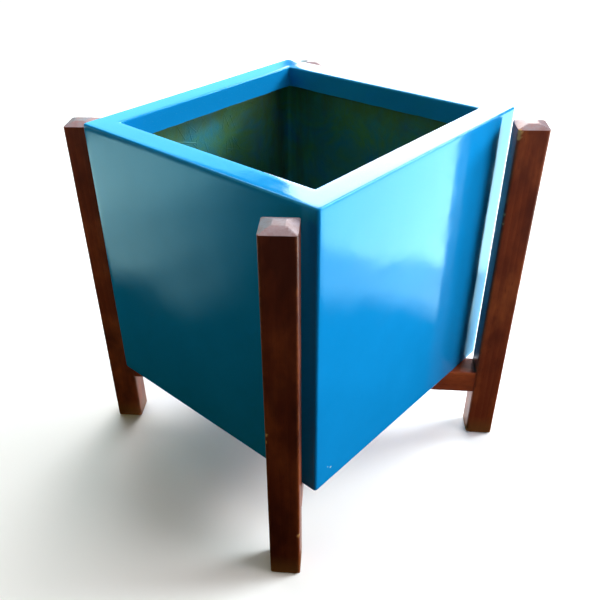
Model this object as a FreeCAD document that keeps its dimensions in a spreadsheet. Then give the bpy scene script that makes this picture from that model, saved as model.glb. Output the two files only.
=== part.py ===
import FreeCAD, Part
import os
import re
import Sketcher

# A cube planter moulded in glass fibre, standing in a cross stand of square timber.
# Millimetres. The origin is on the floor under the middle of the planter, +Z is up, the planter's
# walls face +-X and +-Y, and -Y is the front. The stand is turned from the planter's diagonals, so
# that each corner of the planter passes beside its leg.

SIZES = [
    # planter
    ("box_side", 400),           # outer width, depth and height
    ("wall", 4),                 # laminate of the walls, the rim and the lip
    ("floor_thickness", 5),
    ("rim_width", 35),           # flat rim, from the outer face to the lip's inner face
    ("lip_depth", 29),           # lip turned down inside, from the top of the rim
    ("corner_radius", 4),        # the four upright outer corners
    ("rim_radius", 2.5),         # outer and inner edge of the rim
    ("base_radius", 3),          # edge round the underside
    ("laminate_radius", 6),      # inside, where walls and floor meet
    ("drain_radius", 9),
    ("drain_offset", 100),       # clear of the rails, towards +Y
    # rubber plug
    ("plug_gap", 0.06),
    ("plug_below", 3),
    ("plug_taper", 1.5),
    ("plug_flange_radius", 14),
    ("plug_flange_height", 2.5),
    ("plug_neck_radius", 3.5),
    ("plug_neck_height", 3),
    ("plug_knob_radius", 6),
    ("plug_knob_height", 4),
    ("plug_bevel", 1),
    # stand
    ("rail_top", 125),           # height of the rails' top, where the planter rests
    ("stand_turn", 7.7),         # degrees between the rails and the planter's diagonals
    ("leg_reach", 295),          # from the middle of the stand to the middle of a leg
    ("leg_width", 40),
    ("leg_top", 518),            # height of the leg's top above the floor
    ("leg_edge_radius", 3),
    ("hip_run", 12),
    ("hip_rise", 4.5),
    ("rail_width", 40),
    ("rail_height", 37),
    ("rail_edge_radius", 1.5),
    ("lap_gap", 0.1),
    # dowels, two in each end of each rail
    ("dowel_radius", 5),
    ("dowel_length", 48),
    ("dowel_bevel", 1),
    ("dowel_pitch", 18),
    ("glue_gap", 0.05),
    # screw through the lap, from below
    ("screw_radius", 2.4),
    ("screw_head_radius", 4.8),
    ("screw_head_height", 2.6),
    ("screw_straight", 20),
    ("screw_point", 5),
    ("screw_slot_width", 1.1),
    ("screw_slot_depth", 1.2),
    # glide under each leg, with its nail
    ("glide_radius", 12),
    ("glide_height", 2.5),
    ("glide_bevel", 0.8),
    ("nail_radius", 1.3),
    ("nail_straight", 13),
    ("nail_point", 3),
    ("nail_head_radius", 3.2),
    ("nail_head_height", 1),
    ("nail_sink", 0.5),
]
# Each leg's turn about +Z, in quarter turns from the front right one.
LEGS = {"front_right": 0, "back_right": 1, "back_left": 2, "front_left": 3}

doc = FreeCAD.newDocument("planter_on_stand")
sheet = doc.addObject("Spreadsheet::Sheet", "Sizes")
for row, (alias, value) in enumerate(SIZES, start=1):
    sheet.set(f"A{row}", alias)
    sheet.set(f"B{row}", str(value))
    sheet.setAlias(f"B{row}", alias)
doc.recompute()


def sized(formula):
    """The formula with every alias read from the sheet."""
    aliases = {alias for alias, value in SIZES}

    def read(word):
        return f"Sizes.{word.group()}" if word.group() in aliases else word.group()

    return re.sub("[a-z_]+", read, formula)


def bind(thing, **sizes):
    """Binds each named size of an object to a formula of the sheet."""
    for name, formula in sizes.items():
        thing.setExpression(name, sized(formula))


def place(thing, across="0", along="0", up="0", turn="0"):
    """Binds a placement: a turn about +Z and then a move, both formulas."""
    spot = f"vector({sized(across)}; {sized(along)}; {sized(up)})"
    thing.setExpression("Placement", f"placement({spot}; rotation(vector(0; 0; 1); {sized(turn)}))")


def new_body(label):
    body = doc.addObject("PartDesign::Body", label)
    body.Label = label
    return body


def new_sketch(body, name, role="XY_Plane", offset="0"):
    """A sketch on one of the body's own planes, moved along the plane's normal."""
    sketch = body.newObject("Sketcher::SketchObject", f"{body.Name}_{name}")
    plane = next(item for item in body.Origin.OriginFeatures if item.Role == role)
    sketch.AttachmentSupport = [(plane, "")]
    sketch.MapMode = "FlatFace"
    sketch.setExpression("AttachmentOffset.Base.z", sized(offset))
    return sketch


def constrain(sketch, formula, *constraint):
    """Adds a dimension and binds it to a formula."""
    index = sketch.addConstraint(Sketcher.Constraint(*constraint, 1.0))
    sketch.renameConstraint(index, f"size{index}")
    sketch.setExpression(f"Constraints.size{index}", sized(formula))


def add_loop(sketch, corners):
    """A closed outline of straight edges, with its corners joined. Returns its first edge's index."""
    first = sketch.GeometryCount
    count = len(corners)
    points = [FreeCAD.Vector(x, y, 0) for x, y in corners]
    for i in range(count):
        sketch.addGeometry(Part.LineSegment(points[i], points[(i + 1) % count]), False)
    for i in range(count):
        sketch.addConstraint(Sketcher.Constraint("Coincident", first + i, 2, first + (i + 1) % count, 1))
    return first


def add_rectangle(sketch, across, along):
    """A rectangle about the sketch's origin."""
    first = add_loop(sketch, [(-1, -1), (1, -1), (1, 1), (-1, 1)])
    for i, direction in enumerate(["Horizontal", "Vertical", "Horizontal", "Vertical"]):
        sketch.addConstraint(Sketcher.Constraint(direction, first + i))
    sketch.addConstraint(Sketcher.Constraint("Symmetric", first, 1, first + 2, 1, -1, 1))
    constrain(sketch, across, "DistanceX", first, 1, first, 2)
    constrain(sketch, along, "DistanceY", first + 1, 1, first + 1, 2)


def add_circle(sketch, radius, across="0", along="0"):
    """A circle, with its middle given by two formulas that stay above zero or are zero."""
    index = sketch.GeometryCount
    sketch.addGeometry(Part.Circle(FreeCAD.Vector(1, 1, 0), FreeCAD.Vector(0, 0, 1), 1), False)
    constrain(sketch, radius, "Radius", index)
    for formula, direction, pin in ((across, "DistanceX", -2), (along, "DistanceY", -1)):
        if formula == "0":
            sketch.addConstraint(Sketcher.Constraint("PointOnObject", index, 3, pin))
        else:
            constrain(sketch, formula, direction, -1, 1, index, 3)


def pad(body, sketch, length):
    feature = body.newObject("PartDesign::Pad", f"{sketch.Name}_pad")
    feature.Profile = sketch
    bind(feature, Length=length)
    return feature


def pocket(body, sketch, length, upwards=False):
    """Cuts against the sketch's normal, or along it, and checks that something was cut."""
    doc.recompute()
    before = body.Shape.Volume
    feature = body.newObject("PartDesign::Pocket", f"{sketch.Name}_pocket")
    feature.Profile = sketch
    feature.Reversed = upwards
    bind(feature, Length=length)
    doc.recompute()
    if body.Shape.Volume > before - 1e-3:
        raise RuntimeError(f"{feature.Name} cuts nothing")
    return feature


def edges_where(feature, test):
    """Names of the feature's edges whose two ends pass the test."""
    doc.recompute()
    chosen = []
    for index, edge in enumerate(feature.Shape.Edges, start=1):
        ends = [vertex.Point for vertex in edge.Vertexes]
        if len(ends) == 2 and test(ends):
            chosen.append(f"Edge{index}")
    return chosen


def same(one, other):
    return abs(one - other) < 1e-6


def upright(ends):
    return same(ends[0].x, ends[1].x) and same(ends[0].y, ends[1].y)


def fillet(body, base, test, radius):
    feature = body.newObject("PartDesign::Fillet", f"{base.Name}_fillet")
    feature.Base = (base, edges_where(base, test))
    bind(feature, Radius=radius)
    return feature


def stack(name, layers):
    """A round piece about +Z, from cylinders and cones set on each other from zero upwards."""
    pieces = []
    height = "0"
    for index, (low, high, thickness) in enumerate(layers):
        if low == high:
            piece = doc.addObject("Part::Cylinder", f"{name}_layer{index}")
            bind(piece, Radius=low, Height=thickness)
        else:
            piece = doc.addObject("Part::Cone", f"{name}_layer{index}")
            bind(piece, Radius1=low, Radius2=high, Height=thickness)
        place(piece, up=height)
        height = f"{height} + {thickness}"
        pieces.append(piece)
    whole = doc.addObject("Part::MultiFuse", name)
    whole.Shapes = pieces
    whole.Refine = True
    return whole


def group(label, members):
    """Like pieces that share a node, each a solid of its own."""
    whole = doc.addObject("Part::Compound", label)
    whole.Label = label
    whole.Links = members
    return whole


def make_planter():
    """The moulded planter: floor, walls, flat rim and the lip turned down inside it."""
    body = new_body("planter_shell")
    sketch = new_sketch(body, "floor")
    add_rectangle(sketch, "box_side", "box_side")
    pad(body, sketch, "floor_thickness")

    rings = {
        "walls": ("0", "box_side", "box_side - 2 * wall", "box_side"),
        "rim": ("box_side - wall", "box_side", "box_side - 2 * rim_width", "wall"),
        "lip": (
            "box_side - lip_depth",
            "box_side - 2 * rim_width + 2 * wall",
            "box_side - 2 * rim_width",
            "lip_depth",
        ),
    }
    for name, (base, outside, inside, height) in rings.items():
        sketch = new_sketch(body, name, offset=base)
        add_rectangle(sketch, outside, outside)
        add_rectangle(sketch, inside, inside)
        feature = pad(body, sketch, height)

    sketch = new_sketch(body, "drain", offset="floor_thickness")
    add_circle(sketch, "drain_radius", along="drain_offset")
    feature = pocket(body, sketch, "floor_thickness")

    half = sheet.box_side / 2
    inner = half - sheet.wall
    mouth = half - sheet.rim_width

    def corner_at(distance):
        return lambda ends: upright(ends) and same(abs(ends[0].x), distance)

    def border_at(height, distance):
        return lambda ends: all(
            same(end.z, height) and same(max(abs(end.x), abs(end.y)), distance) for end in ends
        )

    feature = fillet(body, feature, corner_at(half), "corner_radius")
    feature = fillet(body, feature, corner_at(inner), "laminate_radius")
    feature = fillet(body, feature, corner_at(mouth), "rim_radius")
    feature = fillet(body, feature, border_at(sheet.floor_thickness, inner), "laminate_radius")
    feature = fillet(body, feature, border_at(0, half), "base_radius")
    fillet(body, feature, lambda ends: all(same(end.z, sheet.box_side) for end in ends), "rim_radius")
    place(body, up="rail_top")
    return body


def make_plug():
    """The rubber plug: a stem through the floor, a flange on it and a knob to pull."""
    stem = "drain_radius - plug_gap"
    plug = stack("drain_plug", [
        ("drain_radius - plug_taper", stem, "plug_taper"),
        (stem, stem, "plug_below + floor_thickness - plug_taper"),
        ("plug_flange_radius", "plug_flange_radius", "plug_flange_height - plug_bevel"),
        ("plug_flange_radius", "plug_flange_radius - plug_bevel", "plug_bevel"),
        ("plug_neck_radius", "plug_neck_radius", "plug_neck_height"),
        ("plug_knob_radius", "plug_knob_radius", "plug_knob_height - plug_bevel"),
        ("plug_knob_radius", "plug_knob_radius - plug_bevel", "plug_bevel"),
    ])
    place(plug, along="drain_offset", up="rail_top - plug_below")
    return plug


def leg_angle(quarter):
    """The turn about +Z that sends a leg or a rail made along +X to its place."""
    return f"{90 * quarter - 45} - stand_turn"


def make_leg(corner, quarter):
    """A square leg, made with its outer face towards +X: eased edges, a hipped top and its holes."""
    body = new_body(f"leg_{corner}")
    sketch = new_sketch(body, "section")
    add_rectangle(sketch, "leg_width", "leg_width")
    post = pad(body, sketch, "leg_top - glide_height")
    fillet(body, post, upright, "leg_edge_radius")

    # One wedge off the top's +X edge, and the same round the other three edges.
    sketch = new_sketch(body, "hip", "XZ_Plane", "leg_width")
    tip = sheet.leg_width / 2
    height = sheet.leg_top - sheet.glide_height
    first = add_loop(sketch, [(tip, height), (tip - sheet.hip_run, height), (tip, height - sheet.hip_rise)])
    sketch.addConstraint(Sketcher.Constraint("Horizontal", first))
    sketch.addConstraint(Sketcher.Constraint("Vertical", first + 2))
    constrain(sketch, "leg_width / 2", "DistanceX", -1, 1, first, 1)
    constrain(sketch, "leg_top - glide_height", "DistanceY", -1, 1, first, 1)
    constrain(sketch, "hip_run", "DistanceX", first, 2, first, 1)
    constrain(sketch, "hip_rise", "DistanceY", first + 2, 1, first + 2, 2)
    wedge = pocket(body, sketch, "2 * leg_width")
    hips = body.newObject("PartDesign::PolarPattern", f"{body.Name}_hips")
    hips.Originals = [wedge]
    hips.Axis = (next(item for item in body.Origin.OriginFeatures if item.Role == "Z_Axis"), [""])
    hips.Angle = 360
    hips.Occurrences = 4
    body.Tip = hips

    bottom_of_rail = "rail_top - glide_height - rail_height / 2"
    sketch = new_sketch(body, "dowel_holes", "YZ_Plane", "(dowel_length - leg_width) / 2 + glue_gap")
    add_circle(sketch, "dowel_radius + glue_gap", along=f"{bottom_of_rail} - dowel_pitch / 2")
    add_circle(sketch, "dowel_radius + glue_gap", along=f"{bottom_of_rail} + dowel_pitch / 2")
    pocket(body, sketch, "dowel_length / 2 + glue_gap")

    sketch = new_sketch(body, "nail_hole")
    add_circle(sketch, "nail_radius")
    nail_end = "nail_sink + nail_head_height + nail_straight + nail_point"
    pocket(body, sketch, f"{nail_end} - glide_height + glue_gap", True)

    angle = leg_angle(quarter)
    place(body, f"leg_reach * cos({angle})", f"leg_reach * sin({angle})", "glide_height", angle)
    return body


def make_rail(label, quarter, notch_at_top):
    """A rail along +X, halved at the middle from above or below, with dowel holes in its ends."""
    body = new_body(label)
    length = "2 * leg_reach - leg_width"
    sketch = new_sketch(body, "plan")
    add_rectangle(sketch, length, "rail_width")
    bar = pad(body, sketch, "rail_height")

    fillet(body, bar, lambda ends: abs(ends[0].x - ends[1].x) > sheet.leg_reach, "rail_edge_radius")

    sketch = new_sketch(body, "notch", offset="rail_height" if notch_at_top else "0")
    add_rectangle(sketch, "rail_width + 2 * lap_gap", "2 * rail_width")
    pocket(body, sketch, "rail_height / 2", not notch_at_top)

    ends = {"near": ("leg_width / 2 - leg_reach", True), "far": ("leg_reach - leg_width / 2", False)}
    for end, (offset, inwards) in ends.items():
        sketch = new_sketch(body, f"{end}_holes", "YZ_Plane", offset)
        add_circle(sketch, "dowel_radius + glue_gap", along="(rail_height - dowel_pitch) / 2")
        add_circle(sketch, "dowel_radius + glue_gap", along="(rail_height + dowel_pitch) / 2")
        pocket(body, sketch, "dowel_length / 2 + glue_gap", inwards)

    sketch = new_sketch(body, "screw_hole")
    add_circle(sketch, "screw_radius + glue_gap")
    pocket(body, sketch, "screw_head_height + screw_straight + screw_point + glue_gap", True)
    if notch_at_top:
        head = body.newObject("PartDesign::SubtractiveCone", f"{body.Name}_countersink")
        bind(
            head,
            Radius1="screw_head_radius + glue_gap",
            Radius2="screw_radius + glue_gap",
            Height="screw_head_height",
        )
    place(body, up="rail_top - rail_height", turn=leg_angle(quarter))
    return body


def make_dowels(corner, quarter):
    """The two glued dowels between a leg and its rail, one above the other."""
    angle = leg_angle(quarter)
    spot = "(leg_reach - leg_width / 2 - dowel_length / 2)"
    pair = []
    for name, side in (("low", "-"), ("high", "+")):
        thin = "dowel_radius - dowel_bevel"
        dowel = stack(f"dowel_{corner}_{name}", [
            (thin, "dowel_radius", "dowel_bevel"),
            ("dowel_radius", "dowel_radius", "dowel_length - 2 * dowel_bevel"),
            ("dowel_radius", thin, "dowel_bevel"),
        ])
        height = sized(f"rail_top - rail_height / 2 {side} dowel_pitch / 2")
        across = sized(f"{spot} * cos({angle})")
        along = sized(f"{spot} * sin({angle})")
        turn = f"rotation(vector(0; 0; 1); {sized(angle)}) * rotation(vector(0; 1; 0); 90)"
        dowel.setExpression("Placement", f"placement(vector({across}; {along}; {height}); {turn})")
        pair.append(dowel)
    return group(f"dowels_{corner}", pair)


def make_screw():
    """The countersunk screw through the lap, head down, with a crossed slot."""
    blank = stack("screw_blank", [
        ("screw_head_radius", "screw_radius", "screw_head_height"),
        ("screw_radius", "screw_radius", "screw_straight"),
        ("screw_radius", "screw_radius / 8", "screw_point"),
    ])
    slots = []
    for turn in (0, 90):
        slot = doc.addObject("Part::Box", f"screw_slot_{turn}")
        bind(slot, Length="screw_head_radius", Width="screw_slot_width", Height="screw_slot_depth")
        middle = "0 - screw_head_radius / 2" if turn == 0 else "screw_slot_width / 2"
        side = "0 - screw_slot_width / 2" if turn == 0 else "0 - screw_head_radius / 2"
        place(slot, middle, side, turn=str(turn))
        slots.append(slot)
    cross = doc.addObject("Part::MultiFuse", "screw_cross")
    cross.Shapes = slots
    screw = doc.addObject("Part::Cut", "lap_screw")
    screw.Base = blank
    screw.Tool = cross
    place(screw, up="rail_top - rail_height")
    return screw


def make_glide(corner, quarter):
    """A plastic disc under a leg, with a bevelled foot and a hole stepped for its nail."""
    disc = stack(f"glide_disc_{corner}", [
        ("glide_radius - glide_bevel", "glide_radius", "glide_bevel"),
        ("glide_radius", "glide_radius", "glide_height - glide_bevel"),
    ])
    bore = stack(f"glide_bore_{corner}", [
        ("nail_head_radius + glue_gap", "nail_head_radius + glue_gap", "nail_sink + nail_head_height"),
        ("nail_radius + glue_gap", "nail_radius + glue_gap", "glide_height"),
    ])
    glide = doc.addObject("Part::Cut", f"glide_{corner}")
    glide.Base = disc
    glide.Tool = bore
    angle = leg_angle(quarter)
    place(glide, f"leg_reach * cos({angle})", f"leg_reach * sin({angle})", "0", angle)
    return glide


def make_nails():
    """The nails that hold the glides, heads down."""
    nails = []
    for corner, quarter in LEGS.items():
        thin = "nail_radius - glue_gap"
        nail = stack(f"nail_{corner}", [
            ("nail_head_radius", "nail_head_radius", "nail_head_height"),
            (thin, thin, "nail_straight"),
            (thin, "nail_radius / 6", "nail_point"),
        ])
        angle = leg_angle(quarter)
        place(nail, f"leg_reach * cos({angle})", f"leg_reach * sin({angle})", "nail_sink", angle)
        nails.append(nail)
    return group("glide_nails", nails)


nodes = [
    make_planter(),
    make_plug(),
    make_rail("rail_lower", 0, True),
    make_rail("rail_upper", 1, False),
    make_screw(),
    make_nails(),
]
for corner, quarter in LEGS.items():
    nodes.append(make_leg(corner, quarter))
    nodes.append(make_dowels(corner, quarter))
    nodes.append(make_glide(corner, quarter))
doc.recompute()

for thing in doc.Objects:
    if "Invalid" in thing.State or "Error" in thing.State:
        raise RuntimeError(f"{thing.Label} failed: {thing.State}")
os.makedirs("parts", exist_ok=True)
for node in nodes:
    if node.Shape.isNull() or not node.Shape.isValid():
        raise RuntimeError(f"{node.Label} has no valid shape")
    node.Shape.exportStep(f"parts/{node.Label}.step")
    box = node.Shape.BoundBox
    print(f"{node.Label}: {len(node.Shape.Solids)} solid(s), {node.Shape.Volume / 1000:.2f} cm3, "
          f"z {box.ZMin:.2f} to {box.ZMax:.2f}")
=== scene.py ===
import math
from functools import partial

import bmesh
import bpy
from mathutils import Matrix, Vector, noise


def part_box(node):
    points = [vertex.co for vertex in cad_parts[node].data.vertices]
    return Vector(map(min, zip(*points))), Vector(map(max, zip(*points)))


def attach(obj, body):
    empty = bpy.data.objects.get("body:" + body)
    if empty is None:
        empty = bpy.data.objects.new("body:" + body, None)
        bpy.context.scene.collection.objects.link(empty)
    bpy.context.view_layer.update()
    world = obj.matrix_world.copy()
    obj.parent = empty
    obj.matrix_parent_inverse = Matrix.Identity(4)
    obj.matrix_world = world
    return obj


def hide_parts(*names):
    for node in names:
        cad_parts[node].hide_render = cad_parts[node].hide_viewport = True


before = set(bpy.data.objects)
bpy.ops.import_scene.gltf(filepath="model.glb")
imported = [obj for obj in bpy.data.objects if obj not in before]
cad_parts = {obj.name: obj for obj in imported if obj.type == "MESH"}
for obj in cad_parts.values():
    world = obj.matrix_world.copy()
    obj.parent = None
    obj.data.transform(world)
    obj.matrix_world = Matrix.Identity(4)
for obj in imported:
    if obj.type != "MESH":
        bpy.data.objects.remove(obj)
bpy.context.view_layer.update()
MM = 0.001

# -----
# Legs. Square hardwood, planed, with eased edges and tops hipped on four sides, stained a dark
# red-brown and varnished to a satin gloss. Edges are rubbed, feet are worn, corners are knocked.
# The colour also holds painted light: an orange highlight along the edges, a pale sheen on the
# hips, and a lighter or darker tone for each leg as painted light and shade.
corners = ["front_right", "back_right", "back_left", "front_left"]
leg_nodes = [f"leg_{corner}" for corner in corners]
first_leg_turn = math.radians(-52.7)
leg_turn = {node: first_leg_turn + quarter * math.pi / 2 for quarter, node in enumerate(leg_nodes)}
leg_width = 40 * MM
leg_edge_round = 3 * MM
hip_run, hip_rise = 12 * MM, 4.5 * MM


def add_node(tree, kind, inputs=None, **settings):
    """A node with its settings, and its inputs given as values or as the sockets that feed them."""
    made = tree.nodes.new(kind)
    for name, value in settings.items():
        setattr(made, name, value)
    for key, value in (inputs or {}).items():
        if isinstance(value, bpy.types.NodeSocket):
            tree.links.new(value, made.inputs[key])
        else:
            made.inputs[key].default_value = value
    return made


def result(tree, kind, inputs=None, **settings):
    """The first output of a new node."""
    return add_node(tree, kind, inputs, **settings).outputs[0]


def calc(tree, operation, *values):
    """The result of a Math node on numbers or sockets."""
    return result(tree, "ShaderNodeMath", dict(enumerate(values)), operation=operation)


def vector_calc(tree, operation, *values):
    """The result of a Vector Math node on vectors or sockets."""
    return result(tree, "ShaderNodeVectorMath", dict(enumerate(values)), operation=operation)


def scaled(tree, vector, factor):
    return result(tree, "ShaderNodeVectorMath", {0: vector, "Scale": factor}, operation="SCALE")


def xyz(tree, x=0.0, y=0.0, z=0.0):
    return result(tree, "ShaderNodeCombineXYZ", {0: x, 1: y, 2: z})


def split(tree, vector):
    """The three parts of a vector."""
    return add_node(tree, "ShaderNodeSeparateXYZ", {0: vector}).outputs


def stored(tree, name, kind):
    """A named attribute, read inside a Geometry Nodes tree."""
    return result(tree, "GeometryNodeInputNamedAttribute", {"Name": name}, data_type=kind)


def open_tree(name, **labels):
    """An empty Geometry Nodes tree with inputs named by kind: returns it, its input sockets and
    their identifiers."""
    tree = bpy.data.node_groups.new(name, "GeometryNodeTree")
    identifiers = {}
    for kind in labels:
        for label in labels[kind]:
            identifiers[label] = tree.interface.new_socket(
                name=label, in_out="INPUT", socket_type=f"NodeSocket{kind}"
            ).identifier
    tree.interface.new_socket(name="Result", in_out="OUTPUT", socket_type="NodeSocketGeometry")
    return tree, add_node(tree, "NodeGroupInput").outputs, identifiers


def close_tree(tree, geometry, finish):
    """Ends a tree in Realize Instances and Set Material."""
    geometry = result(tree, "GeometryNodeRealizeInstances", {"Geometry": geometry})
    geometry = result(tree, "GeometryNodeSetMaterial", {"Geometry": geometry, "Material": finish})
    add_node(tree, "NodeGroupOutput", {"Result": geometry})


def timber_tree():
    """Builds a square timber along Z with eased long edges and a hipped end, and puts it in its place."""
    tree, given, identifiers = open_tree(
        "timber", Float=("Width", "Depth", "Length", "Edge Radius", "Hip Run", "Hip Rise", "Wear", "Seed"),
        Int=("Steps Across", "Steps Along"), Vector=("Place", "Turn"), Material=("Finish",),
    )

    times, plus, minus, over, least, most, size = (
        partial(calc, tree, operation)
        for operation in ("MULTIPLY", "ADD", "SUBTRACT", "DIVIDE", "MINIMUM", "MAXIMUM", "ABSOLUTE")
    )

    def moved(geometry, key, vector):
        return result(tree, "GeometryNodeSetPosition", {"Geometry": geometry, key: vector})

    def crowded(value, extent):
        """Brings the points of an even grid closer together towards both ends."""
        half = times(extent, 0.5)
        share = times(over(value, half), math.pi / 2)
        return times(calc(tree, "SINE", share), half)

    block = add_node(tree, "GeometryNodeMeshCube", {
        "Size": xyz(tree, given["Width"], given["Depth"], given["Length"]),
        "Vertices X": given["Steps Across"], "Vertices Y": given["Steps Across"],
        "Vertices Z": given["Steps Along"],
    }).outputs["Mesh"]
    x, y, z = split(tree, result(tree, "GeometryNodeInputPosition"))
    block = moved(block, "Position", xyz(tree, crowded(x, given["Width"]), crowded(y, given["Depth"]), z))

    # Each point past the straight part of its side swings onto the rounded edge.
    x, y, z = split(tree, result(tree, "GeometryNodeInputPosition"))
    half_width = times(given["Width"], 0.5)
    half_depth = times(given["Depth"], 0.5)
    straight_x = minus(half_width, given["Edge Radius"])
    straight_y = minus(half_depth, given["Edge Radius"])
    near_x = most(least(x, straight_x), times(straight_x, -1.0))
    near_y = most(least(y, straight_y), times(straight_y, -1.0))
    past_x, past_y = minus(x, near_x), minus(y, near_y)
    past = calc(tree, "SQRT", plus(times(past_x, past_x), times(past_y, past_y)))
    reach_x, reach_y = size(past_x), size(past_y)
    swing = over(most(reach_x, reach_y), past)
    round_x = plus(near_x, times(past_x, swing))
    round_y = plus(near_y, times(past_y, swing))
    edge = over(least(reach_x, reach_y), given["Edge Radius"])
    edge = result(tree, "ShaderNodeMapRange", {0: edge, 1: 0.0, 2: 0.4})

    # The hips: the upper end rises from its border to a small flat in the middle.
    inward = least(minus(half_width, size(x)), minus(half_depth, size(y)))
    share = least(over(inward, given["Hip Run"]), 1.0)
    lift = times(times(share, given["Hip Rise"]), calc(tree, "GREATER_THAN", z, 0.0))
    block = result(tree, "GeometryNodeStoreNamedAttribute", {
        "Geometry": block, "Name": "edge", "Value": edge,
    }, data_type="FLOAT", domain="POINT")
    block = moved(block, "Position", xyz(tree, round_x, round_y, plus(z, lift)))

    # Planing marks and rubbing: a fine unevenness, deeper along the edges.
    place = result(tree, "GeometryNodeInputPosition")
    stretched = vector_calc(tree, "MULTIPLY", place, (1, 1, 0.25))
    rough = result(tree, "ShaderNodeTexNoise", {
        "Vector": stretched, "W": given["Seed"], "Scale": 190.0, "Detail": 3.0,
    }, noise_dimensions="4D")
    worn = stored(tree, "edge", "FLOAT")
    depth = times(given["Wear"], plus(times(worn, 1.6), 0.22))
    push = times(minus(rough, 0.62), depth)
    normal = result(tree, "GeometryNodeInputNormal")
    block = moved(block, "Offset", scaled(tree, normal, push))
    block = result(tree, "GeometryNodeTransform", {
        "Geometry": block, "Translation": given["Place"], "Rotation": given["Turn"],
    })
    close_tree(tree, block, given["Finish"])
    return tree, identifiers


def new_piece(name, data=None):
    piece = bpy.data.objects.new(name, data or bpy.data.meshes.new(name))
    bpy.context.scene.collection.objects.link(piece)
    return piece


def apply_modifiers(piece):
    """Makes a plain mesh of what the piece's modifiers give, and removes them."""
    bpy.context.view_layer.update()
    graph = bpy.context.evaluated_depsgraph_get()
    mesh = bpy.data.meshes.new_from_object(
        piece.evaluated_get(graph), preserve_all_data_layers=True, depsgraph=graph
    )
    piece.modifiers.clear()
    piece.data = mesh


def apply_tree(piece, recipe, **values):
    """Runs a tree on a piece. An input's name is written in lower case, joined by underscores."""
    tree, identifiers = recipe
    modifier = piece.modifiers.new(tree.name, "NODES")
    modifier.node_group = tree
    for key, value in values.items():
        modifier[identifiers[key.replace("_", " ").title()]] = value
    apply_modifiers(piece)


def shade(piece, angle, hip_height=None):
    """Smooth faces, sharp past an angle in degrees, with sharp creases between hips above a height."""
    mesh = piece.data
    mesh.polygons.foreach_set("use_smooth", [True] * len(mesh.polygons))
    mesh.set_sharp_from_angle(angle=math.radians(angle))
    if hip_height is None:
        return
    made = bmesh.new()
    made.from_mesh(mesh)
    for edge in made.edges:
        if edge.verts[0].co.z > hip_height and edge.verts[1].co.z > hip_height:
            edge.smooth = edge.smooth and edge.calc_face_angle(0) < math.radians(9)
    made.to_mesh(mesh)
    made.free()


def empty_material(name):
    material = bpy.data.materials.new(name)
    material.use_nodes = True
    material.node_tree.nodes.clear()
    return material, material.node_tree


def new_material(name, centre=(0, 0, 0), turn=(0, 0, 0)):
    """A material with a Principled shader: returns the material, its tree, the shader, and object
    coordinates moved and turned to a piece's own axes."""
    material, tree = empty_material(name)
    shader = add_node(tree, "ShaderNodeBsdfPrincipled")
    add_node(tree, "ShaderNodeOutputMaterial", {"Surface": shader.outputs[0]})
    place = add_node(tree, "ShaderNodeTexCoord").outputs["Object"]
    place = vector_calc(tree, "SUBTRACT", place, tuple(centre))
    place = result(
        tree, "ShaderNodeVectorRotate", {"Vector": place, "Rotation": tuple(turn)},
        rotation_type="EULER_XYZ", invert=True,
    )
    return material, tree, shader, place


def ramp(tree, source, stops):
    """A colour ramp fed by a socket, with (place, colour) stops."""
    made = add_node(tree, "ShaderNodeValToRGB", {"Fac": source})
    band = made.color_ramp
    while len(band.elements) < len(stops):
        band.elements.new(0.5)
    for element, (place, colour) in zip(band.elements, stops):
        element.position = place
        element.color = (*colour, 1)
    return made.outputs["Color"]


def mapped(tree, place, scale=(1, 1, 1), turn=(0, 0, 0), location=(0, 0, 0)):
    return result(tree, "ShaderNodeMapping", {
        "Vector": place, "Scale": scale, "Rotation": turn, "Location": location,
    })


def grain(tree, place, scale, detail=3.0, roughness=0.5, distortion=0.0, along=None):
    """A noise pattern from 0 to 1, which a small factor along Z draws out."""
    if along:
        place = mapped(tree, place, (1, 1, along))
    return result(tree, "ShaderNodeTexNoise", {
        "Vector": place, "Scale": scale, "Detail": detail, "Roughness": roughness, "Distortion": distortion,
    })


def mixed(tree, share, one, other):
    """Two colours mixed by a socket or a number."""
    made = add_node(tree, "ShaderNodeMix", data_type="RGBA")
    for index, value in ((0, share), (6, one), (7, other)):
        socket = made.inputs[index]
        if isinstance(value, bpy.types.NodeSocket):
            tree.links.new(value, socket)
        else:
            socket.default_value = (*value, 1) if socket.type == "RGBA" else value
    return made.outputs[2]


def between(tree, source, low, high, from_low=0.0, from_high=1.0):
    """A number socket brought from one range to another, clamped."""
    return result(tree, "ShaderNodeMapRange", {
        "Value": source, "From Min": from_low, "From Max": from_high, "To Min": low, "To Max": high,
    })


def finished(tree, shader, colour, roughness, height, strength, distance):
    """Feeds a shader its colour and roughness, and a bump from a height."""
    bump = result(tree, "ShaderNodeBump", {"Height": height, "Strength": strength, "Distance": distance})
    for label, source in (("Base Color", colour), ("Roughness", roughness), ("Normal", bump)):
        tree.links.new(source, shader.inputs[label])


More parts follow.
